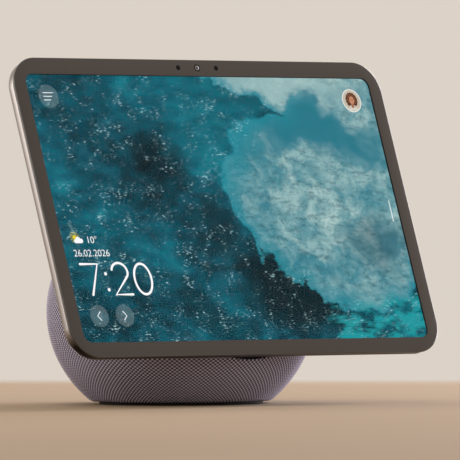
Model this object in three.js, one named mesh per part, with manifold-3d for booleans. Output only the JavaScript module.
// Smart home hub: a tilted touch display held in front of a knit-covered speaker base.
// Millimetres. +X is the viewer's right, +Z is up and the screen faces -Y.
// The origin lies on the table, under the middle of the whole object.

import * as THREE from "three";
import { mergeVertices } from "three/addons/utils/BufferGeometryUtils.js";
import Module from "manifold-3d";

const wasm = await Module();
wasm.setup();

// ---------------------------------------------------------------- driving dimensions

const clearance = 0.3; // between pieces that meet

// Screen and cover glass
const screenWidth = 235.8;
const screenHeight = 147.4;
const screenCorner = 5;
const bezelSide = 8;
const bezelTop = 9.2;
const bezelBottom = 8.2;
const glassThickness = 1.1;
const glassChamfer = 0.45;
const glassCorner = 17;
const tilt = THREE.MathUtils.degToRad(20); // the screen leans back from upright
const glassBottomHeight = 27; // lower edge of the glass over the table

// Layers behind the glass
const adhesiveThickness = 0.5;
const touchThickness = 0.3;
const panelThickness = 1;
const panelBorder = 1; // panel beyond the picture, on each side
const backlightThickness = 1.4;
const frameFloor = 0.8;
const frameRim = 1.2;
const boardThickness = 0.8;
const shieldHeight = 0.9;
const spreaderThickness = 0.3;

// Rear housing
const housingInset = 0.6; // the glass stands this far proud of the side wall
const grooveWidth = 0.8; // shadow gap between the glass and the housing
const housingWall = 1.5;
const straightSide = 4.8; // depth at which the side starts to round off
const roundingReach = 12; // how far the rounding runs in over the back
const displayThickness = 10.6;

// Keys on the right-hand edge
const keyWidth = 1.6;
const keyProud = 0.5;
const keyTravel = 0.4;
const keyFlange = 0.6;
const keyOverlap = 0.6; // flange beyond the slot, on each side
const volumeKeyLength = 14;
const micKeyLength = 8;
const topKeyFromTop = 36; // middle of the first key, down from the top edge
const keyPitch = 18;

// Camera and sensors in the top bezel
const sensorSpacing = 13;
const cameraRadius = 2;
const sensorRadius = 1.4;
const notchWidth = 36; // gap in the frame for the sensor strip
const cableNotchWidth = 34; // gap in the frame for the panel's flat cable
const cableNotchX = -32; // its middle, left of the screen's middle
const microphoneOffset = 40;
const microphoneHole = 0.6;
const sensorBack = 4.9; // back of the camera and sensors, behind the glass front
const sensorFoot = 1.2; // thickness of their square feet
const sensorStripThickness = 0.5;
const sensorStripHeight = 3.2;
const switchLength = 3.2;
const switchGap = 0.1; // between a pressed key's flange and its switch

// Boards in the display
const mainBoardLow = 66; // lower edge, up from the glass's lower edge
const mainBoardHeight = 56;
const mainBoardWidth = 120;
const processorShieldX = -26;
const processorShieldSize = 38;
const radioShieldX = 30;
const radioShieldSize = 28;
const spreaderInset = 4; // spreader inside the board's outline

// Neck between display and base
const neckGap = 0.4; // air between the display's back and the base's flat face
const neckWidth = 44;
const neckHeight = 26;
const neckCorner = 10;
const neckFlange = 2.5;
const neckFlangeReach = 5;
const passageWidth = 20;
const passageHeight = 16;
const neckScrewX = 17;
const neckScrewY = 8;
const neckScrewRadius = 1.5;
const cableRadius = 1.2;
const panelCableThickness = 0.25;

// Base: a ball stretched sideways, with a flat face towards the display and a flat bottom
const baseHalfWidth = 76.6;
const baseHalfDepth = 62.2;
const baseHalfHeight = 64;
const baseCentreHeight = 49;
const seatDepth = 45.2; // from the ball's middle to its flat face
const knitThickness = 1.4;
const knitHem = 1.5; // lower edge of the knit over the table
const shellWall = 2.4;
const frontPlate = 2.4;
const bottomPlate = 3;
const footHeight = 1.5;
const footWidth = 7;
const footInset = 4.2; // from the knit's lower edge to the foot
const bottomScrewInsetX = 15.3; // from the knit's lower edge to the screws
const bottomScrewInsetY = 18.7;
const bottomScrewRadius = 1.4;
const bossRadius = 4; // posts that the bottom screws drive into

// Base electronics
const powerBoardWidth = 72;
const powerBoardDepth = 40;
const powerBoardOffset = -6; // forward of the ball's middle
const powerBoardThickness = 1.6;
const boardLift = 6; // board over the bottom plate
const postRadius = 2.6; // posts under the power board
const postFromScrew = 10; // posts inside the bottom screws, across
const postY = 16; // to the front and back of the board's middle
const capacitorRadius = 4;
const capacitorHeight = 7;
const capacitorXs = [-22, -12];
const chokeWidth = 12;
const chokeHeight = 5;
const chokeX = 16; // the choke's middle
const chokeY = 6;
const ballastFromPosts = 1.4; // between the ballast and the posts beside it
const ballastDepth = 50;
const ballastThickness = 4;
const inletWidth = 12;
const inletHeight = 10;
const inletWall = 1.3;
const inletCentre = 10.8; // over the table
const jackRadius = 2.75;
const jackPin = 0.9;
const jackLength = 12;
const jackRecess = 6; // jack face behind the base's back surface

// Speakers
const wooferRadius = 35;
const wooferOverInlet = 1.2; // woofer's rim over the power inlet's opening
const rimWidth = 3; // clamped edge of a speaker
const driverRadius = 24;
const driverDrop = 3; // under the ball's middle
const driverAngle = THREE.MathUtils.degToRad(65); // turned out from straight ahead

// How far one joined piece runs into the other, where both make one solid
const weldDepth = 0.5;

// Fineness of round shapes
const ballSegments = 32;
const ballRings = 12;
const turnedSegments = 16;
const screwSegments = 8;
const cornerSteps = 4;

// ---------------------------------------------------------------- derived dimensions

const glassWidth = screenWidth + 2 * bezelSide;
const glassHeight = screenHeight + bezelTop + bezelBottom;
const glassMiddle = glassHeight / 2; // up the screen, from the glass's lower edge
const screenMiddle = bezelBottom + screenHeight / 2;

const touchFront = glassThickness + clearance;
const panelFront = touchFront + touchThickness + clearance;
const backlightFront = panelFront + panelThickness + clearance;
const frameBack = backlightFront + backlightThickness + clearance + frameFloor;
const boardFront = frameBack + clearance;
const shieldFront = boardFront + boardThickness + clearance;
const spreaderFront = shieldFront + shieldHeight + clearance;
const rimFront = glassThickness + adhesiveThickness + 2 * clearance;
const housingFront = glassThickness + grooveWidth;
const housingBackInside = displayThickness - housingWall;

const seatPlane = displayThickness + neckGap; // the base's flat face, behind the glass front
const shellPlane = seatPlane + frontPlate + clearance;
const ballMiddleBack = seatPlane + seatDepth;
const ballMiddleUp =
  (baseCentreHeight - glassBottomHeight + ballMiddleBack * Math.sin(tilt)) / Math.cos(tilt);
const ballY = ballMiddleUp * Math.sin(tilt) + ballMiddleBack * Math.cos(tilt);

const shellInset = knitThickness + clearance;
const cavityInset = shellInset + shellWall;
const bottomPlateLow = footHeight + clearance;
const bottomPlateTop = bottomPlateLow + bottomPlate;
const shellLow = bottomPlateTop + clearance;
const powerBoardLow = bottomPlateTop + boardLift;

const hemShare = Math.sqrt(1 - ((baseCentreHeight - knitHem) / baseHalfHeight) ** 2);
const hemX = baseHalfWidth * hemShare; // half-axes of the knit's lower edge
const hemY = baseHalfDepth * hemShare;
const bottomScrewX = hemX - bottomScrewInsetX;
const bottomScrewY = hemY - bottomScrewInsetY;
const postX = bottomScrewX - postFromScrew;
const ballastWidth = 2 * (postX - postRadius - ballastFromPosts);
const wooferHeight = inletCentre + inletHeight / 2 + wooferOverInlet + wooferRadius;
const wooferRaise = wooferHeight - baseCentreHeight;

const frontmost = glassChamfer * Math.sin(tilt);
const rearmost = ballY + baseHalfDepth;

// ---------------------------------------------------------------- finishes

const finishes = {
  glass: { color: 0x4a4342, roughness: 0.1, metalness: 0 },
  silver: { color: 0xaaa5a6, roughness: 0.35, metalness: 0.6 },
  knit: { color: 0x7a707c, roughness: 0.95, metalness: 0 },
  darkPlastic: { color: 0x26242a, roughness: 0.6, metalness: 0 },
  rubber: { color: 0x1c1b1d, roughness: 0.9, metalness: 0 },
  board: { color: 0x1f4a35, roughness: 0.5, metalness: 0 },
  steel: { color: 0x9a9da0, roughness: 0.35, metalness: 0.9 },
  cast: { color: 0x7d8084, roughness: 0.5, metalness: 0.8 },
  ferrite: { color: 0x34363a, roughness: 0.7, metalness: 0.2 },
  cone: { color: 0x2a2b2f, roughness: 0.7, metalness: 0 },
  picture: { color: 0x0b4a5e, roughness: 0.4, metalness: 0 },
  film: { color: 0xb8c4c8, roughness: 0.3, metalness: 0 },
  amber: { color: 0xb27a33, roughness: 0.5, metalness: 0 },
};

function finish(name) {
  return new THREE.MeshStandardMaterial(finishes[name]);
}

// ---------------------------------------------------------------- solids

function solidOf(geometry) {
  const bare = geometry.clone();
  bare.deleteAttribute("normal");
  bare.deleteAttribute("uv");
  const merged = mergeVertices(bare, 1e-4);
  return new wasm.Manifold(
    new wasm.Mesh({
      numProp: 3,
      vertProperties: new Float32Array(merged.attributes.position.array),
      triVerts: new Uint32Array(merged.index.array),
    }),
  );
}

function geometryOf(solid) {
  const mesh = solid.getMesh();
  const geometry = new THREE.BufferGeometry();
  geometry.setAttribute("position", new THREE.BufferAttribute(mesh.vertProperties, 3));
  geometry.setIndex(new THREE.BufferAttribute(mesh.triVerts, 1));
  return geometry;
}

function combine(operation, first, others) {
  const result = others.reduce(
    (solid, other) => solid[operation](solidOf(other)),
    solidOf(first),
  );
  return geometryOf(result);
}

const cut = (body, ...tools) => combine("subtract", body, tools);
const join = (body, ...additions) => combine("add", body, additions);
const common = (body, ...others) => combine("intersect", body, others);

function moved(geometry, x, y, z) {
  return geometry.clone().translate(x, y, z);
}

// A box given by its low and high corners.
function block(low, high) {
  const size = high.map((value, i) => value - low[i]);
  const middle = high.map((value, i) => (value + low[i]) / 2);
  return new THREE.BoxGeometry(...size).translate(...middle);
}

// An upright rod along Z, given by its two ends; a flattened one where radiusY is given.
function rod(radius, low, high, segments = turnedSegments, radiusY = radius) {
  return new THREE.CylinderGeometry(1, 1, high - low, segments)
    .rotateX(Math.PI / 2)
    .scale(radius, radiusY, 1)
    .translate(0, 0, (low + high) / 2);
}

// A profile of [radius, height] points turned about Z, closed on itself or on the axis.
function turned(profile, segments = turnedSegments) {
  const points = profile.map(([radius, height]) => new THREE.Vector2(radius, height));
  const startsOnAxis = profile[0][0] === 0;
  if (!startsOnAxis) {
    points.push(points[0].clone());
  }
  return new THREE.LatheGeometry(points, segments).rotateX(Math.PI / 2);
}

function roundedOutline(width, height, radius) {
  const points = [];
  const quarters = [
    [1, 1],
    [-1, 1],
    [-1, -1],
    [1, -1],
  ];
  quarters.forEach(([sideX, sideY], quarter) => {
    for (let step = 0; step <= cornerSteps; step++) {
      const angle = ((quarter + step / cornerSteps) * Math.PI) / 2;
      const x = sideX * (width / 2 - radius) + radius * Math.cos(angle);
      const y = sideY * (height / 2 - radius) + radius * Math.sin(angle);
      points.push(new THREE.Vector2(x, y));
    }
  });
  return points;
}

// A rounded rectangle carried through a list of [inset, depth] rings, front to back.
// Depth counts backwards from the glass's front face, so it runs towards -Z.
function loft(width, height, radius, rings) {
  const positions = [];
  const indices = [];
  for (const [inset, depth] of rings) {
    const corner = Math.max(radius - inset, 0.4);
    for (const point of roundedOutline(width - 2 * inset, height - 2 * inset, corner)) {
      positions.push(point.x, point.y, -depth);
    }
  }
  const count = 4 * (cornerSteps + 1);
  for (let ring = 0; ring + 1 < rings.length; ring++) {
    for (let i = 0; i < count; i++) {
      const here = ring * count + i;
      const next = ring * count + ((i + 1) % count);
      indices.push(here, here + count, next + count, here, next + count, next);
    }
  }
  const last = (rings.length - 1) * count;
  for (let i = 1; i + 1 < count; i++) {
    indices.push(0, i, i + 1);
    indices.push(last, last + i + 1, last + i);
  }
  const geometry = new THREE.BufferGeometry();
  geometry.setAttribute("position", new THREE.Float32BufferAttribute(positions, 3));
  geometry.setIndex(indices);
  return geometry;
}

// A flat rounded plate between two depths, centred at a height up the screen.
function plate(width, height, radius, front, back, middle = 0) {
  const rings = [
    [0, front],
    [0, back],
  ];
  return moved(loft(width, height, radius, rings), 0, middle, 0);
}

// The base's ball, shrunk by an inset, about its own middle.
function ball(inset) {
  return new THREE.SphereGeometry(1, ballSegments, ballRings)
    .rotateX(Math.PI / 2)
    .scale(baseHalfWidth - inset, baseHalfDepth - inset, baseHalfHeight - inset)
    .translate(0, ballY, baseCentreHeight);
}

// ---------------------------------------------------------------- assembly

const hub = new THREE.Group();
hub.position.y = -(frontmost + rearmost) / 2;

// The display's own frame: X to the right, Y up the screen, Z out of the glass,
// from the middle of the glass's lower front edge.
const display = new THREE.Group();
display.position.z = glassBottomHeight;
display.rotation.x = Math.PI / 2 - tilt;
display.updateMatrix();
hub.add(display);

function add(group, name, geometry, finishName) {
  const mesh = new THREE.Mesh(geometry, finish(finishName));
  mesh.name = name;
  group.add(mesh);
  return mesh;
}

function inDisplay(geometry) {
  return geometry.clone().applyMatrix4(display.matrix);
}

const far = 400; // longer than the whole object, for cutting tools

// Everything in front of a plane behind the glass.
function aheadOf(depth) {
  return inDisplay(block([-far, -far, -depth], [far, far, far]));
}

function behind(depth) {
  return inDisplay(block([-far, -far, -far], [far, far, -depth]));
}

// ---------------------------------------------------------------- screw

// A pan-head screw along -Z with a hexagonal socket; its head stands on Z = 0.
function screw(radius, length, headRadius, headHeight) {
  const profile = [
    [0, -length],
    [radius * 0.6, -length],
    [radius, -length + radius * 0.6],
    [radius, 0],
    [headRadius, 0],
    [headRadius, headHeight * 0.6],
    [headRadius * 0.8, headHeight],
    [0, headHeight],
  ];
  const body = turned(profile, screwSegments);
  const socket = rod(radius * 0.75, headHeight * 0.35, headHeight + 1, 6);
  return cut(body, socket);
}

// ---------------------------------------------------------------- glass and screen stack

function screenPlate(margin, corner, front, thickness) {
  const width = screenWidth + 2 * margin;
  const height = screenHeight + 2 * margin;
  return plate(width, height, corner, front, front + thickness, screenMiddle);
}

function buildScreen() {
  const glass = loft(glassWidth, glassHeight, glassCorner, [
    [glassChamfer, 0],
    [0, glassChamfer],
    [0, glassThickness - glassChamfer / 2],
    [glassChamfer / 2, glassThickness],
  ]);
  add(display, "front_glass", moved(glass, 0, glassMiddle, 0), "glass");

  const touch = screenPlate(panelBorder, screenCorner, touchFront, touchThickness);
  add(display, "touch_sensor", touch, "film");
  const panel = screenPlate(panelBorder, screenCorner, panelFront, panelThickness);
  add(display, "lcd_panel", panel, "picture");
  const light = screenPlate(panelBorder, screenCorner, backlightFront, backlightThickness);
  add(display, "backlight_unit", light, "film");

  const rimInside = panelBorder + clearance;
  const rimOutside = rimInside + frameRim;
  const corner = screenCorner + frameRim;
  const sensorNotch = block(
    [-notchWidth / 2, screenMiddle, -frameBack + frameFloor],
    [notchWidth / 2, glassHeight, 0],
  );
  const cableNotch = block(
    [cableNotchX - cableNotchWidth / 2, -bezelBottom, -far],
    [cableNotchX + cableNotchWidth / 2, bezelBottom - rimInside + clearance, far],
  );
  const tray = cut(
    screenPlate(rimOutside, corner, rimFront, frameBack - rimFront),
    screenPlate(rimInside, screenCorner, 0, frameBack - frameFloor),
    sensorNotch,
    cableNotch,
  );
  add(display, "display_frame", tray, "steel");

  const adhesiveFront = glassThickness + clearance;
  const loop = cut(
    screenPlate(rimOutside, corner, adhesiveFront, adhesiveThickness),
    screenPlate(rimInside, screenCorner, 0, displayThickness),
  );
  const strips = cut(loop, sensorNotch, cableNotch);
  const leftSide = join(
    block([-far, screenMiddle, -far], [0, far, far]),
    block([-far, -far, -far], [cableNotchX, screenMiddle, far]),
  );
  add(display, "glass_adhesive_left", common(strips, leftSide), "darkPlastic");
  add(display, "glass_adhesive_right", cut(strips, leftSide), "darkPlastic");
}

// ---------------------------------------------------------------- rear housing

const keySlots = [
  { name: "volume_up_key", length: volumeKeyLength },
  { name: "volume_down_key", length: volumeKeyLength },
  { name: "mic_camera_key", length: micKeyLength },
].map((key, i) => ({ ...key, height: glassHeight - topKeyFromTop - i * keyPitch }));

const keyDepth = (housingFront + straightSide) / 2; // middle of the keys, behind the glass front
const wallOutside = glassWidth / 2 - housingInset;
const wallInside = wallOutside - housingWall;

// The housing's outline rounds off over its back in a quarter of an ellipse.
function housingRings(inset, front, reach, back) {
  const rings = [
    [inset, front],
    [inset, straightSide],
  ];
  const steps = 5;
  for (let step = 1; step <= steps; step++) {
    const angle = ((step / steps) * Math.PI) / 2;
    const runIn = inset + reach * (1 - Math.cos(angle));
    rings.push([runIn, straightSide + (back - straightSide) * Math.sin(angle)]);
  }
  return rings;
}

function neckPlate(width, height, corner, front, back) {
  return plate(width, height, corner, front, back, ballMiddleUp);
}

function atNeckScrews(make) {
  const places = [];
  for (const x of [-neckScrewX, neckScrewX]) {
    for (const y of [-neckScrewY, neckScrewY]) {
      places.push(moved(make(), x, ballMiddleUp + y, 0));
    }
  }
  return places;
}

function buildHousing() {
  const outside = housingRings(housingInset, housingFront, roundingReach, displayThickness);
  const insideReach = roundingReach - housingWall;
  const insideInset = housingInset + housingWall;
  const inside = housingRings(insideInset, housingFront - 1, insideReach, housingBackInside);
  const slots = keySlots.map(({ length, height }) =>
    block(
      [wallInside - 1, height - length / 2 - clearance, -keyDepth - keyWidth / 2 - clearance],
      [wallOutside + 1, height + length / 2 + clearance, -keyDepth + keyWidth / 2 + clearance],
    ),
  );
  const soundHoles = [-microphoneOffset, microphoneOffset].map((x) =>
    rod(microphoneHole, -far, far, 12)
      .rotateX(Math.PI / 2)
      .translate(x, glassHeight + far - bezelTop, -keyDepth),
  );
  const shell = cut(
    moved(loft(glassWidth, glassHeight, glassCorner, outside), 0, glassMiddle, 0),
    moved(loft(glassWidth, glassHeight, glassCorner, inside), 0, glassMiddle, 0),
    neckPlate(passageWidth, passageHeight, neckCorner / 2, 0, far),
    ...atNeckScrews(() => rod(neckScrewRadius + clearance, -far, 0, 16)),
    ...slots,
    ...soundHoles,
  );
  add(display, "rear_housing", shell, "silver");
}

// ---------------------------------------------------------------- keys

const switchFace = wallInside - clearance - keyFlange - keyTravel - switchGap;
const keyBoardFace = switchFace - switchGap - keyTravel;

function buildKeys() {
  const low = -keyDepth - keyWidth / 2;
  const high = -keyDepth + keyWidth / 2;
  for (const { name, length, height } of keySlots) {
    const cap = loft(length, keyWidth, keyWidth / 2 - 0.05, [
      [0.2, 0],
      [0, 0.2],
      [0, keyProud + housingWall + 2 * clearance],
    ])
      .rotateY(Math.PI / 2)
      .rotateX(Math.PI / 2)
      .translate(wallOutside + keyProud, height, -keyDepth);
    const flangeOuter = wallInside - clearance;
    const flange = block(
      [flangeOuter - keyFlange, height - length / 2 - keyOverlap, low - keyOverlap],
      [flangeOuter, height + length / 2 + keyOverlap, high + keyOverlap],
    );
    add(display, name, join(cap, flange), "silver");
  }
  const highest = keySlots[0].height + volumeKeyLength / 2;
  const lowest = keySlots.at(-1).height - micKeyLength / 2;
  const board = block(
    [keyBoardFace - boardThickness, lowest, low - keyOverlap],
    [keyBoardFace, highest, high + keyOverlap],
  );
  const switches = keySlots.map(({ height }) =>
    block(
      [keyBoardFace - clearance, height - switchLength / 2, low],
      [switchFace, height + switchLength / 2, high],
    ),
  );
  add(display, "button_board", join(board, ...switches), "board");
}

// ---------------------------------------------------------------- electronics in the display

const sensorHeight = glassHeight - bezelTop / 2;
const sensorFront = glassThickness + clearance;

function buildElectronics() {
  const barrel = moved(rod(cameraRadius, -sensorBack + 1, -sensorFront, 24), 0, sensorHeight, 0);
  const bore = moved(rod(cameraRadius * 0.6, -sensorFront - 0.8, 0, 24), 0, sensorHeight, 0);
  const foot = block(
    [-2 * cameraRadius, sensorHeight - 1.9, -sensorBack],
    [2 * cameraRadius, sensorHeight + 1.9, -sensorBack + sensorFoot],
  );
  add(display, "camera_module", cut(join(barrel, foot), bore), "darkPlastic");
  for (const [x, name] of [
    [-sensorSpacing, "light_sensor"],
    [sensorSpacing, "presence_sensor"],
  ]) {
    const pipe = moved(rod(sensorRadius, -sensorBack + 1, -sensorFront, 16), x, sensorHeight, 0);
    const chip = block(
      [x - 2.2, sensorHeight - 1.7, -sensorBack],
      [x + 2.2, sensorHeight + 1.7, -sensorBack + sensorFoot],
    );
    add(display, name, join(pipe, chip), "film");
  }
  const strip = plate(
    notchWidth - 2,
    sensorStripHeight,
    0.6,
    sensorBack + clearance,
    sensorBack + clearance + sensorStripThickness,
    sensorHeight,
  );
  add(display, "sensor_board", strip, "amber");

  const topInside = glassHeight - housingInset - housingWall - clearance;
  for (const [x, name] of [
    [-microphoneOffset, "microphone_left"],
    [microphoneOffset, "microphone_right"],
  ]) {
    const can = block([x - 4, topInside - 1.6, -keyDepth - 1.4], [x + 4, topInside, -keyDepth + 1.4]);
    const port = rod(microphoneHole, -0.8, 1, 12)
      .rotateX(-Math.PI / 2)
      .translate(x, topInside, -keyDepth);
    add(display, name, cut(can, port), "steel");
  }

  const boardMiddle = mainBoardLow + mainBoardHeight / 2;
  const boardBack = boardFront + boardThickness;
  const board = plate(mainBoardWidth, mainBoardHeight, 3, boardFront, boardBack, boardMiddle);
  add(display, "main_board", board, "board");
  for (const [x, size, name] of [
    [processorShieldX, processorShieldSize, "processor_shield"],
    [radioShieldX, radioShieldSize, "radio_shield"],
  ]) {
    const can = plate(size, size, 1.5, shieldFront, shieldFront + shieldHeight, boardMiddle);
    add(display, name, moved(can, x, 0, 0), "steel");
  }
  const spreader = plate(
    mainBoardWidth - 2 * spreaderInset,
    mainBoardHeight - 2 * spreaderInset,
    4,
    spreaderFront,
    spreaderFront + spreaderThickness,
    boardMiddle,
  );
  add(display, "heat_spreader", spreader, "cast");
}

// The panel's flat cable: down from the panel, round the frame's lower edge and up to the board.
function buildPanelCable() {
  const thickness = panelCableThickness;
  const start = screenMiddle - screenHeight / 2 - panelBorder - clearance;
  const turn = start - 2.4;
  const front = panelFront + panelThickness / 2;
  const back = frameBack + clearance + thickness;
  const end = mainBoardLow - clearance;
  const outline = new THREE.Shape();
  const bend = (back - front) / 2;
  outline.moveTo(start, front - thickness / 2);
  outline.lineTo(turn, front - thickness / 2);
  outline.absarc(turn, front + bend, bend + thickness / 2, -Math.PI / 2, -1.5 * Math.PI, true);
  outline.lineTo(end, back + thickness / 2);
  outline.lineTo(end, back - thickness / 2);
  outline.lineTo(turn, back - thickness / 2);
  outline.absarc(turn, front + bend, bend - thickness / 2, -1.5 * Math.PI, -Math.PI / 2, false);
  outline.lineTo(start, front + thickness / 2);
  outline.closePath();
  const width = cableNotchWidth - 6;
  const ribbon = new THREE.ExtrudeGeometry(outline, {
    depth: width,
    bevelEnabled: false,
    curveSegments: 8,
  });
  // The outline is drawn as (up the screen, depth); it turns to stand in the display's frame.
  const toDisplay = new THREE.Matrix4().makeBasis(
    new THREE.Vector3(0, 1, 0),
    new THREE.Vector3(0, 0, -1),
    new THREE.Vector3(-1, 0, 0),
  );
  ribbon.applyMatrix4(toDisplay).translate(cableNotchX + width / 2, 0, 0);
  add(display, "display_cable", ribbon, "amber");
}

// ---------------------------------------------------------------- neck

function buildNeck() {
  const front = displayThickness + clearance;
  const flangeFront = seatPlane + frontPlate + clearance;
  const back = flangeFront + neckFlange;
  const tube = neckPlate(neckWidth, neckHeight, neckCorner, front, back);
  const flange = neckPlate(
    neckWidth + 2 * neckFlangeReach,
    neckHeight + 2 * neckFlangeReach,
    neckCorner + neckFlangeReach,
    flangeFront,
    back,
  );
  const bracket = cut(
    join(tube, flange),
    neckPlate(passageWidth, passageHeight, neckCorner / 2, 0, far),
    ...atNeckScrews(() => rod(neckScrewRadius + clearance, -far, 0, 16)),
  );
  add(display, "neck_bracket", bracket, "cast");

  const headSeat = housingBackInside - clearance;
  const length = back - headSeat - 1;
  atNeckScrews(() => screw(neckScrewRadius, length, 2 * neckScrewRadius, 1.4)).forEach(
    (geometry, i) => add(display, `neck_screw_${i + 1}`, moved(geometry, 0, 0, -headSeat), "steel"),
  );
}

function buildNeckCable() {
  const inBase = (y, z) => new THREE.Vector3(0, ballY + y, z);
  const inNeck = (up, depth) =>
    new THREE.Vector3(0, up, -depth).applyMatrix4(display.matrix);
  const middle = (frameBack + housingBackInside) / 2;
  const boardTop = powerBoardLow + powerBoardThickness;
  const path = new THREE.CatmullRomCurve3([
    inNeck(mainBoardLow - clearance, middle),
    inNeck(ballMiddleUp + 12, middle),
    inNeck(ballMiddleUp + 4, middle + 1.2),
    inNeck(ballMiddleUp, middle + 5),
    inNeck(ballMiddleUp - 1, shellPlane + 5),
    inBase(-31, baseCentreHeight + 4),
    inBase(-25, baseCentreHeight - 10),
    inBase(-22, boardTop + 14),
    inBase(-22, boardTop + clearance),
  ]);
  const section = new THREE.Shape();
  section.absarc(0, 0, cableRadius, 0, 2 * Math.PI, false);
  const cable = new THREE.ExtrudeGeometry(section, {
    extrudePath: path,
    steps: 26,
    curveSegments: 4,
    bevelEnabled: false,
  });
  add(hub, "neck_cable", cable, "rubber");
}

// ---------------------------------------------------------------- base casing

const bossTop = powerBoardLow - 2 * clearance;

function atBottomScrews(make) {
  const places = [];
  for (const x of [-bottomScrewX, bottomScrewX]) {
    for (const y of [-bottomScrewY, bottomScrewY]) {
      places.push(moved(make(), x, ballY + y, 0));
    }
  }
  return places;
}

// Where a speaker's rim stands: the axis leaves the ball's middle, raised or lowered,
// and the rim is as far out as the wall and the flat face allow.
const cavityHalfWidth = baseHalfWidth - cavityInset;
const cavityHalfDepth = baseHalfDepth - cavityInset;
const cavityHalfHeight = baseHalfHeight - cavityInset;
const shortestHalf = Math.min(cavityHalfWidth, cavityHalfDepth, cavityHalfHeight);

function wallReach(radius, offset, alongAxis) {
  const share = (radius + offset) / shortestHalf;
  return alongAxis * Math.sqrt(1 - share * share) - clearance;
}

const alongDriver =
  1 /
  Math.hypot(Math.sin(driverAngle) / cavityHalfWidth, Math.cos(driverAngle) / cavityHalfDepth);
const driverSlant = Math.hypot(Math.sin(driverAngle) * Math.cos(tilt), Math.sin(tilt));
const driverFrontReach =
  (seatDepth -
    frontPlate -
    3 * clearance -
    driverRadius * driverSlant +
    driverDrop * Math.sin(tilt)) /
  (Math.cos(driverAngle) * Math.cos(tilt));

const speakers = {
  woofer: {
    radius: wooferRadius,
    turn: Math.PI,
    height: wooferHeight,
    reach: wallReach(wooferRadius, wooferRaise, cavityHalfDepth),
  },
  left_driver: {
    radius: driverRadius,
    turn: -driverAngle,
    height: baseCentreHeight - driverDrop,
    reach: Math.min(driverFrontReach, wallReach(driverRadius, driverDrop, alongDriver)),
  },
};
speakers.right_driver = { ...speakers.left_driver, turn: driverAngle };

// A speaker's own frame has its rim plane at Z = 0 and looks along +Z;
// turn is counted from straight ahead, positive to the viewer's right.
function speakerMatrix({ turn, height, reach }) {
  return new THREE.Matrix4()
    .makeTranslation(0, ballY, height)
    .multiply(new THREE.Matrix4().makeRotationZ(turn))
    .multiply(new THREE.Matrix4().makeRotationX(Math.PI / 2))
    .multiply(new THREE.Matrix4().makeTranslation(0, 0, reach));
}

function buildCasing() {
  const below = (height) => block([-far, -far, -far], [far, far, height]);
  const above = (height) => block([-far, -far, height], [far, far, far]);
  const inletTool = (margin) =>
    loft(inletWidth + 2 * margin, inletHeight + 2 * margin, 2.5 + margin, [
      [0, -far],
      [0, 0],
    ])
      .rotateX(-Math.PI / 2)
      .translate(0, ballY + baseHalfDepth / 3, inletCentre);

  const knit = cut(ball(0), ball(knitThickness), aheadOf(seatPlane), below(knitHem), inletTool(clearance));
  add(hub, "knit_cover", knit, "knit");

  const tubes = Object.values(speakers).map((speaker) =>
    rod(speaker.radius, clearance, far).applyMatrix4(speakerMatrix(speaker)),
  );
  const horns = Object.values(speakers).map((speaker) =>
    rod(speaker.radius - rimWidth, -clearance, far).applyMatrix4(speakerMatrix(speaker)),
  );
  const bosses = atBottomScrews(() => rod(bossRadius, shellLow, bossTop, 16));
  const pilots = atBottomScrews(() => rod(bottomScrewRadius + clearance, 0, bossTop + 1, 12));
  const skin = cut(ball(shellInset), ball(cavityInset));
  const shell = cut(
    common(join(skin, ...tubes, ...bosses), ball(shellInset)),
    ...horns,
    ...pilots,
    aheadOf(shellPlane),
    below(shellLow),
    inletTool(clearance),
  );
  add(hub, "base_shell", shell, "darkPlastic");

  const seat = cut(
    common(ball(shellInset), behind(seatPlane), aheadOf(seatPlane + frontPlate)),
    inDisplay(
      neckPlate(
        neckWidth + 2 * clearance,
        neckHeight + 2 * clearance,
        neckCorner + clearance,
        0,
        far,
      ),
    ),
  );
  add(hub, "base_front_plate", seat, "darkPlastic");

  const headRoom = atBottomScrews(() =>
    rod(2 * bottomScrewRadius + clearance, 0, bottomPlateLow + bottomPlate * 0.6, 16),
  );
  const postYs = [-postY, postY].map((y) => powerBoardOffset + y);
  const postPlaces = [-postX, postX].flatMap((x) => postYs.map((y) => [x, y]));
  const posts = postPlaces.map(([x, y]) =>
    moved(
      rod(postRadius, bottomPlateTop - weldDepth, powerBoardLow - clearance),
      x,
      ballY + y,
      0,
    ),
  );
  const bottomDisc = common(ball(shellInset), above(bottomPlateLow), below(bottomPlateTop));
  const bottom = cut(join(bottomDisc, ...posts), ...headRoom, ...pilots);
  add(hub, "base_bottom_cover", bottom, "darkPlastic");

  const headSeat = bottomPlateLow + bottomPlate * 0.6 - clearance;
  atBottomScrews(() =>
    screw(bottomScrewRadius, bossTop - headSeat - 1, 2 * bottomScrewRadius, 1.2).rotateX(Math.PI),
  ).forEach((geometry, i) =>
    add(hub, `bottom_screw_${i + 1}`, moved(geometry, 0, 0, headSeat), "steel"),
  );

  const footX = hemX - footInset;
  const footY = hemY - footInset;
  const foot = cut(
    rod(footX, 0, footHeight, 48, footY),
    rod(footX - footWidth, -1, footHeight + 1, 48, footY - footWidth),
  );
  add(hub, "foot_ring", moved(foot, 0, ballY, 0), "rubber");

  const inlet = common(
    cut(
      inletTool(0),
      block([-far, ballY - far, -far], [far, ballY + baseHalfDepth / 2, far]),
      loft(inletWidth - 2 * inletWall, inletHeight - 2 * inletWall, 1.4, [
        [0, -far],
        [0, far],
      ])
        .rotateX(-Math.PI / 2)
        .translate(0, ballY, inletCentre),
    ),
    ball(-0.5),
  );
  add(hub, "inlet_bezel", inlet, "darkPlastic");
}

// ---------------------------------------------------------------- base electronics

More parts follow.
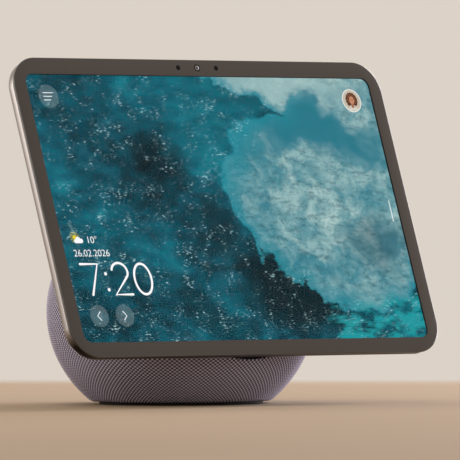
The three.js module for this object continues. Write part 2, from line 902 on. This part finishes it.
function buildBaseElectronics() {
  const boardTop = powerBoardLow + powerBoardThickness;
  const board = block(
    [-powerBoardWidth / 2, -powerBoardDepth / 2, powerBoardLow],
    [powerBoardWidth / 2, powerBoardDepth / 2, boardTop],
  );
  const capacitors = capacitorXs.map((x) =>
    moved(rod(capacitorRadius, boardTop - weldDepth, boardTop + capacitorHeight, 20), x, 8, 0),
  );
  const choke = block(
    [chokeX - chokeWidth / 2, chokeY - chokeWidth / 2, boardTop - weldDepth],
    [chokeX + chokeWidth / 2, chokeY + chokeWidth / 2, boardTop + chokeHeight],
  );
  const powerBoard = join(board, ...capacitors, choke);
  add(hub, "power_board", moved(powerBoard, 0, ballY + powerBoardOffset, 0), "board");

  const low = bottomPlateTop + clearance;
  const weight = loft(ballastWidth, ballastDepth, 6, [
    [0, -low - ballastThickness],
    [0, -low],
  ]);
  add(hub, "ballast_plate", moved(weight, 0, ballY, 0), "steel");

  const surface =
    baseHalfDepth * Math.sqrt(1 - ((baseCentreHeight - inletCentre) / baseHalfHeight) ** 2);
  const face = surface - jackRecess;
  const width = inletWidth - 2 * inletWall - 2 * clearance;
  const height = inletHeight - 2 * inletWall - 2 * clearance;
  const body = loft(width, height, 1, [
    [0, -jackLength],
    [0, 0],
  ]);
  const socket = cut(rod(jackRadius, 2, jackLength + 1, 24), rod(jackPin, 0, jackLength - 1, 16));
  const jack = cut(body, socket)
    .rotateX(-Math.PI / 2)
    .translate(0, ballY + face - jackLength, inletCentre);
  add(hub, "power_jack", jack, "darkPlastic");
}

// ---------------------------------------------------------------- speakers

// A half-roll surround between the cone's edge and the clamped rim.
function surround(inner, outer, lip, thickness) {
  const middle = (inner + outer) / 2;
  const roll = (outer - inner) / 2;
  const steps = 4;
  const arc = (radius, level) => {
    const points = [];
    for (let step = 0; step <= steps; step++) {
      const angle = (step / steps) * Math.PI;
      points.push([middle + radius * Math.cos(angle), level + radius * Math.sin(angle)]);
    }
    return points;
  };
  const low = -clearance - thickness;
  const high = -clearance;
  return turned([
    [outer + lip, low],
    [outer + lip, high],
    ...arc(roll, high),
    [inner - lip, high],
    [inner - lip, low],
    ...arc(roll - thickness, low).reverse(),
  ]);
}

function buildWoofer() {
  const group = new THREE.Group();
  group.applyMatrix4(speakerMatrix(speakers.woofer));
  hub.add(group);
  const edge = wooferRadius - rimWidth; // clamped from here outwards
  const coneEdge = edge - 6.2;
  const coil = 10;
  const rim = -2 * clearance - 0.6;
  const floor = -15.6;
  const plateBack = floor - 3;
  const magnetBack = plateBack - clearance - 9;
  const yokeBack = magnetBack - clearance - 3;

  const basket = turned([
    [wooferRadius, rim - 1.6],
    [wooferRadius, rim],
    [edge, rim],
    [edge - 8.4, floor],
    [coil + 1.3, floor],
    [coil + 1.3, plateBack],
    [edge - 7.4, plateBack],
    [edge + 0.8, rim - 1.6],
  ]);
  const windows = [0, 1, 2, 3].map((i) =>
    block([9, -7, floor + 0.6], [wooferRadius, 7, rim - 2.6]).rotateZ((i * Math.PI) / 2),
  );
  add(group, "woofer_basket", cut(basket, ...windows), "steel");
  add(group, "woofer_surround", surround(coneEdge, edge - 0.2, 1.8, 0.6), "rubber");

  const coneDrop = 10.2; // from the cone's rim down to the coil
  const slope = (coneEdge - 2.2 - coil - 0.7) / coneDrop;
  const coneFront = (radius) => rim - coneDrop + (radius - coil - 0.7) / slope;
  add(
    group,
    "woofer_cone",
    turned([
      [coil + 0.7, rim - coneDrop - 1],
      [coil + 1.4, rim - coneDrop - 1],
      [coneEdge - 2.2 + slope * 0.3, rim - 0.9],
      [coneEdge, rim - 0.9],
      [coneEdge, rim],
      [coneEdge - 2.2, rim],
      [coil + 0.7, rim - coneDrop],
    ]),
    "cone",
  );
  add(
    group,
    "woofer_dust_cap",
    turned([
      [0, rim - 6.1],
      [6, rim - 6.8],
      [coil + 1.6, coneFront(coil + 1.6) + 0.59],
      [coil + 2.2, coneFront(coil + 2.2) + 0.41],
      [6.3, rim - 6.1],
      [0, rim - 5.4],
    ]),
    "cone",
  );
  add(
    group,
    "woofer_voice_coil",
    turned([
      [coil - 0.1, -24],
      [coil + 0.4, -24],
      [coil + 0.4, rim - 10.4],
      [coil - 0.1, rim - 10.4],
    ]),
    "amber",
  );
  const waves = [];
  const waveSteps = 6;
  for (let step = 0; step <= waveSteps; step++) {
    const share = step / waveSteps;
    const radius = coil + 2 + share * (edge - 10.4 - coil - 2);
    waves.push([radius, 0.6 * (1 - Math.cos(share * 6 * Math.PI)) / 2]);
  }
  const spiderLow = floor + clearance;
  const lower = [[coil + 0.8, 0], ...waves, [edge - 8.9, 0]];
  add(
    group,
    "woofer_spider",
    turned([
      ...lower.map(([radius, height]) => [radius, spiderLow + height]),
      ...lower.reverse().map(([radius, height]) => [radius, spiderLow + height + 0.4]),
    ]),
    "amber",
  );
  add(
    group,
    "woofer_magnet",
    turned([
      [coil + 2.5, magnetBack],
      [24.5, magnetBack],
      [24.5, plateBack - clearance],
      [coil + 2.5, plateBack - clearance],
    ]),
    "ferrite",
  );
  add(
    group,
    "woofer_yoke",
    turned([
      [2.5, yokeBack],
      [24, yokeBack],
      [24, magnetBack - clearance],
      [coil - 0.8, magnetBack - clearance],
      [coil - 0.8, floor],
      [2.5, floor],
    ]),
    "steel",
  );
}

function buildDriver(name) {
  const group = new THREE.Group();
  group.applyMatrix4(speakerMatrix(speakers[name]));
  hub.add(group);
  const edge = driverRadius - rimWidth;
  const coneEdge = edge - 4.2;
  const coil = 7;
  const rim = -2 * clearance - 0.5;
  const floor = -9;
  const plateBack = floor - 1.6;
  const motorBack = plateBack - clearance - 8;

  const basket = turned([
    [driverRadius, rim - 1.4],
    [driverRadius, rim],
    [edge, rim],
    [edge - 5, floor],
    [coil + 1.3, floor],
    [coil + 1.3, plateBack],
    [edge - 4.2, plateBack],
    [edge + 0.6, rim - 1.4],
  ]);
  const windows = [0, 1, 2, 3].map((i) =>
    block([8, -4, floor + 0.6], [driverRadius, 4, rim - 2.2]).rotateZ((i * Math.PI) / 2),
  );
  add(group, `${name}_basket`, cut(basket, ...windows), "steel");
  add(group, `${name}_surround`, surround(coneEdge, edge - 0.2, 1.4, 0.5), "rubber");
  add(
    group,
    `${name}_cone`,
    turned([
      [0, rim - 3.4],
      [coil - 0.4, rim - 5.4],
      [coil - 0.2, -15],
      [coil + 0.2, -15],
      [coil + 0.4, rim - 6],
      [coneEdge - 1.6, rim - 0.8],
      [coneEdge, rim - 0.8],
      [coneEdge, rim],
      [coneEdge - 2, rim],
      [coil + 0.4, rim - 4.8],
      [coil * 0.6, rim - 3.2],
      [0, rim - 2.6],
    ]),
    "cone",
  );
  add(
    group,
    `${name}_motor`,
    turned([
      [0, motorBack],
      [14, motorBack],
      [14, plateBack - clearance],
      [coil + 1, plateBack - clearance],
      [coil + 1, motorBack + 2],
      [coil - 0.9, motorBack + 2],
      [coil - 0.9, floor],
      [0, floor],
    ]),
    "ferrite",
  );
}

// ---------------------------------------------------------------- the whole hub

buildScreen();
buildHousing();
buildKeys();
buildElectronics();
buildPanelCable();
buildNeck();
buildNeckCable();
buildCasing();
buildBaseElectronics();
buildWoofer();
buildDriver("left_driver");
buildDriver("right_driver");

export default hub;
